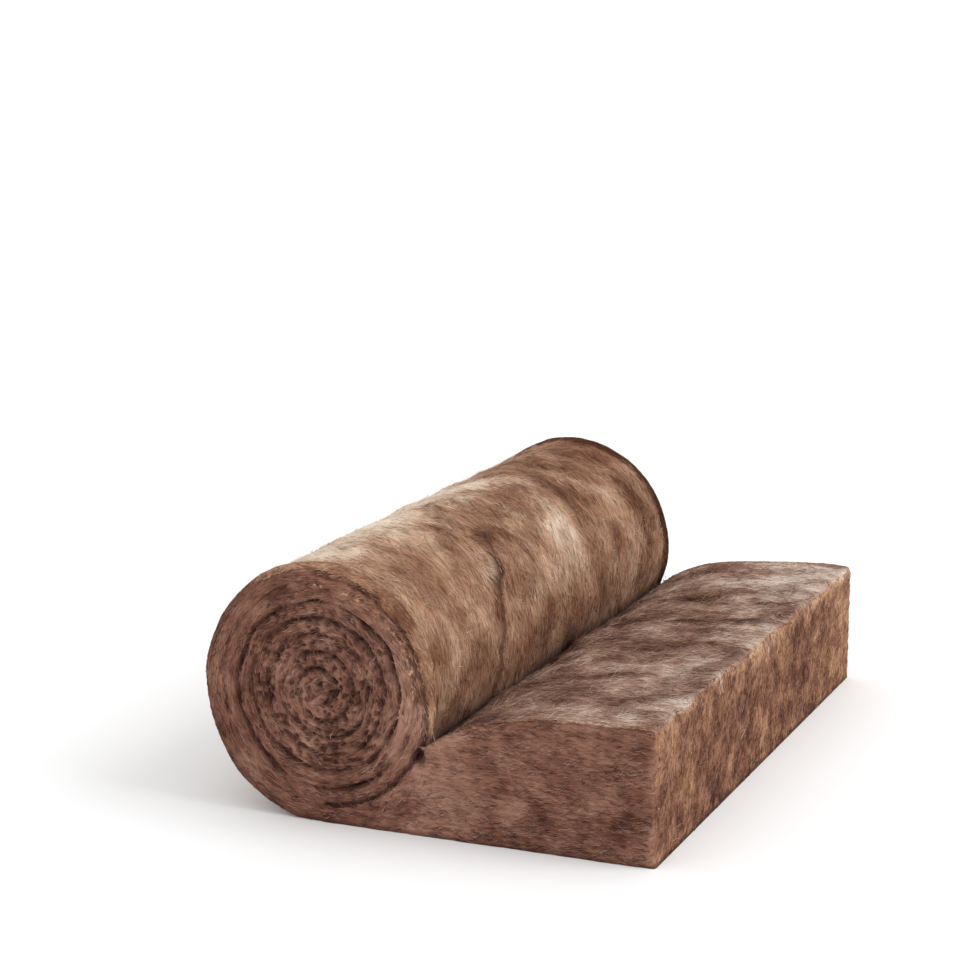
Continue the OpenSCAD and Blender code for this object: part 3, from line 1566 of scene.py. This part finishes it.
STRAND_LAYERS = [
    StrandLayer(
        name="roll_face_locks", finish=ROLL_FACE, zones={Zone.ROLL: 1.0}, count=30000,
        length=(0.018, 0.045), breadth=(0.0010, 0.0022), lift=(0.0002, 0.0014),
        stray=0.16, clump=10, tone=(-0.04, 0.12), seed=11, slant=math.radians(-14),
        swirl=0.15,
    ),
    StrandLayer(
        name="run_out_top_locks", finish=TOP_FACE, zones={Zone.RUN_OUT_TOP: 1.0},
        count=16000, length=(0.018, 0.050), breadth=(0.0010, 0.0022),
        lift=(0.0002, 0.0014), stray=0.16, clump=8, tone=(-0.06, 0.14), seed=12,
        swirl=0.18,
    ),
    StrandLayer(
        name="free_end_locks", finish=TORN_FACE, zones={Zone.FREE_END: 1.0},
        count=11000, length=(0.010, 0.030), breadth=(0.0010, 0.0022),
        lift=(0.0002, 0.0018), stray=0.35, clump=6, tone=(-0.10, 0.14), seed=15,
        swirl=0.45,
    ),
    StrandLayer(
        name="cut_side_locks", finish=SAWN_FACE, zones={Zone.CUT_SIDE: 1.0},
        count=32000, length=(0.010, 0.030), breadth=(0.0008, 0.0017),
        lift=(0.0002, 0.0016), stray=0.16, clump=6, tone=(-0.20, 0.30), seed=13,
        swirl=0.20,
    ),
    StrandLayer(
        name="roll_rim_locks", finish=RIM_FACE, zones={Zone.ROLL_RIM: 1.0}, count=3500,
        length=(0.014, 0.034), breadth=(0.0009, 0.0020), lift=(0.0002, 0.0014),
        stray=0.14, clump=7, tone=(-0.14, 0.10), seed=17, slant=math.radians(10),
        swirl=0.12,
    ),
    # Flyaway fibres, whose pale tone is partly painted highlight for fibres that glow against
    # the light along the outline.
    StrandLayer(
        name="flyaway_fibres", finish=ROLL_FACE,
        zones={Zone.ROLL: 1.0, Zone.RUN_OUT_TOP: 0.8, Zone.FREE_END: 0.06},
        count=15000, length=(0.014, 0.038), breadth=(0.0004, 0.0009),
        lift=(0.0020, 0.0090), stray=0.5, clump=1, tone=(0.05, 0.30), seed=14,
        one_end_up=True, rings=2, nip_clearance=0.060,
    ),
    StrandLayer(
        name="rim_wisps", finish=ROLL_FACE,
        zones={Zone.ROLL: 1.0, Zone.RUN_OUT_TOP: 1.0}, count=7000,
        length=(0.012, 0.030), breadth=(0.0008, 0.0018), lift=(0.0004, 0.0018),
        stray=0.22, clump=6, tone=(-0.10, 0.12), seed=16, slant=math.radians(8),
        swirl=0.35, edge_reach=0.022, nip_clearance=0.060,
    ),
]


@dataclass
class Studio:
    """A plain pale floor, soft light and the camera."""

    aim: Vector = field(default_factory=lambda: Vector((-0.119, -0.054, 0.464)))
    azimuth: float = math.radians(22.77)
    elevation: float = math.radians(11.70)
    distance: float = 4.412
    lens: float = 95.3
    floor_reach: float = 14.0
    surround: float = 1.05
    lamp_place: Vector = field(default_factory=lambda: Vector((3.2, 0.4, 2.6)))
    lamp_aim: Vector = field(default_factory=lambda: Vector((0.05, 0, 0.15)))
    lamp_spread: float = math.radians(40)
    lamp_strength: float = 1.5

    def build(self) -> None:
        """Makes the floor, the lights, the surround and the camera."""
        self._floor()
        self._surround()
        self._lamp()
        self._camera()

    def _floor(self) -> None:
        """A plain matt sheet under the blanket."""
        mesh = bmesh.new()
        bmesh.ops.create_grid(mesh, x_segments=1, y_segments=1, size=self.floor_reach)
        data = bpy.data.meshes.new("floor")
        mesh.to_mesh(data)
        mesh.free()
        paint = bpy.data.materials.new("matt_white_paper")
        paint.use_nodes = True
        shader = paint.node_tree.nodes["Principled BSDF"]
        shader.inputs["Base Color"].default_value = linear("#efefef")
        shader.inputs["Roughness"].default_value = 0.9
        data.materials.append(paint)
        link_new_object(data)

    def _surround(self) -> None:
        """An even white surround."""
        scene = bpy.context.scene
        world = bpy.data.worlds.new("white_surround")
        world.use_nodes = True
        ground = world.node_tree.nodes["Background"]
        ground.inputs["Color"].default_value = (1, 1, 1, 1)
        ground.inputs["Strength"].default_value = self.surround
        scene.world = world
        scene.view_settings.view_transform = "Standard"

    def _lamp(self) -> None:
        """One broad far lamp that lights the blanket and the floor evenly."""
        lamp = bpy.data.lights.new("key", "SUN")
        lamp.angle = self.lamp_spread
        lamp.energy = self.lamp_strength
        stand = link_new_object(lamp)
        stand.location = self.lamp_place
        facing = self.lamp_aim - self.lamp_place
        stand.rotation_euler = facing.to_track_quat("-Z", "Y").to_euler()

    def _camera(self) -> None:
        """The camera, looking a little down on the blanket's cut side and free end."""
        flat = math.cos(self.elevation)
        back = Vector(
            (
                math.sin(self.azimuth) * flat,
                -math.cos(self.azimuth) * flat,
                math.sin(self.elevation),
            )
        )
        lens = bpy.data.cameras.new("camera")
        lens.lens = self.lens
        lens.sensor_width = 36
        lens.clip_end = 60
        eye = link_new_object(lens)
        eye.location = self.aim + back * self.distance
        eye.rotation_euler = (-back).to_track_quat("-Z", "Y").to_euler()
        bpy.context.scene.camera = eye


def main() -> None:
    """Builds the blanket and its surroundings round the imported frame."""
    logging.basicConfig(level=logging.INFO, format="%(name)s: %(message)s")
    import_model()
    Studio().build()
    section = Section(BlanketSize(*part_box(NODE)))
    blanket = WoolBlanket(section)
    piece = blanket.build()
    for finish in ZONE_FINISHES.values():
        piece.data.materials.append(finish.face_material())
    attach(piece, BODY)
    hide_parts(NODE)
    LOG.info("%s: %d faces", piece.name, len(piece.data.polygons))
    samples = FaceSamples.read(piece, section)
    for layer in STRAND_LAYERS:
        strands = layer.build(samples)
        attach(strands, BODY)
        LOG.info("%s: %d faces", strands.name, len(strands.data.polygons))


if __name__ == "__main__":
    main()
